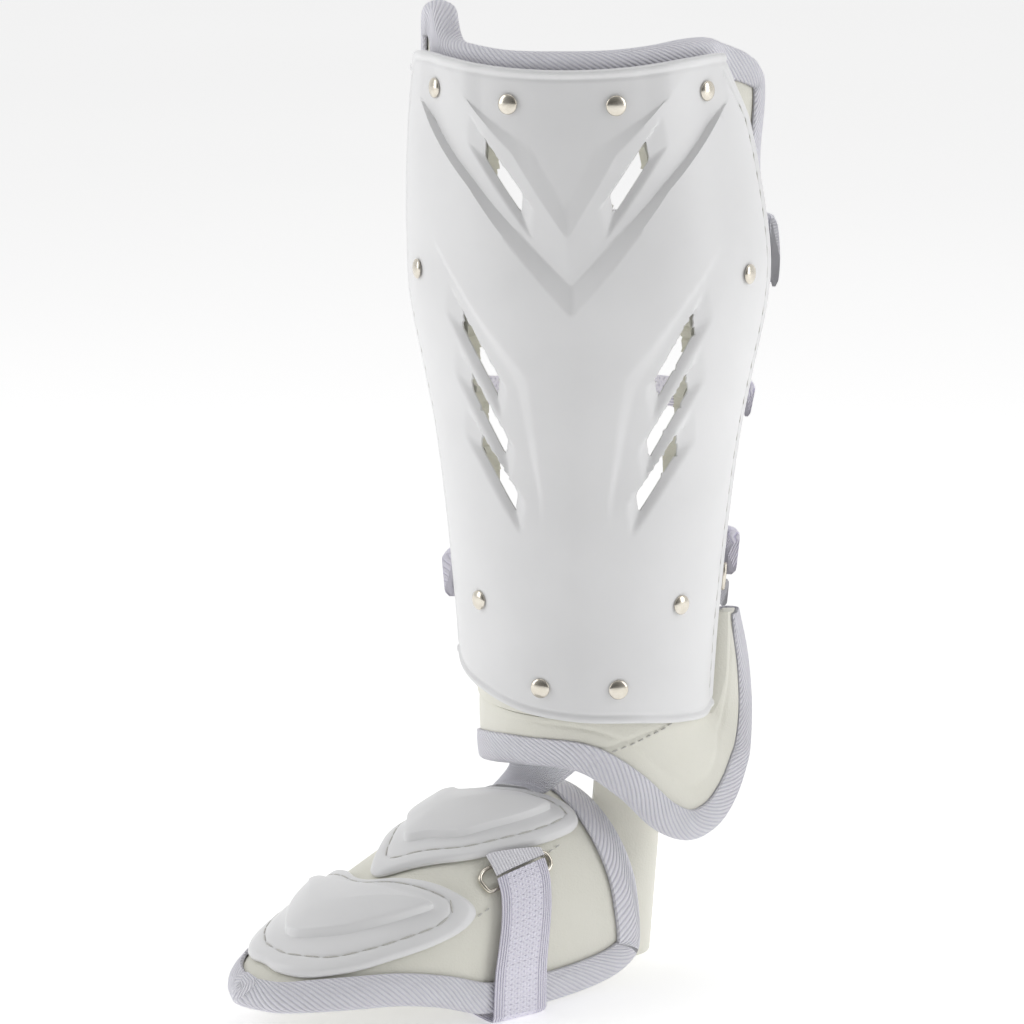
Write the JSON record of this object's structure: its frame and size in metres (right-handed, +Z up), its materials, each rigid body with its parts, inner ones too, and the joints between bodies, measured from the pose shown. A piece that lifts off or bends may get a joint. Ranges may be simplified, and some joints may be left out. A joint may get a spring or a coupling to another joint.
{
  "type": "batter's leg guard",
  "caption": "White batter's leg guard: a moulded shin shell with a chevron and see-through vents on a cream padded lining, with an ankle flap and a foot guard with two plates.",
  "frame": {"origin": "Middle of the leg inside the shin shell's hollow, at calf height. +Z runs up the leg, -Y is the way the shin faces and +X is the viewer's right from the front.", "axes": "+Z up the leg, -Y out of the shin's front, +X to the viewer's right"},
  "size_m": [0.2201, 0.2061, 0.4143],
  "materials": {
    "white_plastic": "moulded white plastic, soft gloss",
    "cream_leather": "smooth cream synthetic leather",
    "lavender_tape": "lavender white twill binding tape",
    "white_webbing": "white woven webbing",
    "lavender_elastic": "pale lavender woven elastic",
    "nickel": "polished nickel"
  },
  "bodies": {
    "root": {"shin_shell": "white_plastic", "liner_pad": "cream_leather", "top_binding": "lavender_tape", "ankle_flap": "cream_leather", "ankle_binding": "lavender_tape", "foot_pad": "cream_leather", "foot_binding": "lavender_tape", "instep_plate": "white_plastic", "toe_plate": "white_plastic", "sole_strap": "lavender_elastic", "strap_loop": "white_webbing", "strap_hook": "nickel", "link_strap": "white_webbing", "ankle_wall": "cream_leather", "leg_strap_upper": "white_webbing", "leg_strap_middle": "lavender_elastic", "leg_strap_lower": "lavender_elastic", "lower_web_loop": "white_webbing", "leg_hook": "nickel", "rivet_top_outer_left": "nickel", "rivet_top_outer_right": "nickel", "rivet_top_inner_left": "nickel", "rivet_top_inner_right": "nickel", "rivet_calf_left": "nickel", "rivet_calf_right": "nickel", "rivet_low_outer_left": "nickel", "rivet_low_outer_right": "nickel", "rivet_low_inner_left": "nickel", "rivet_low_inner_right": "nickel"}
  },
  "joints": []
}
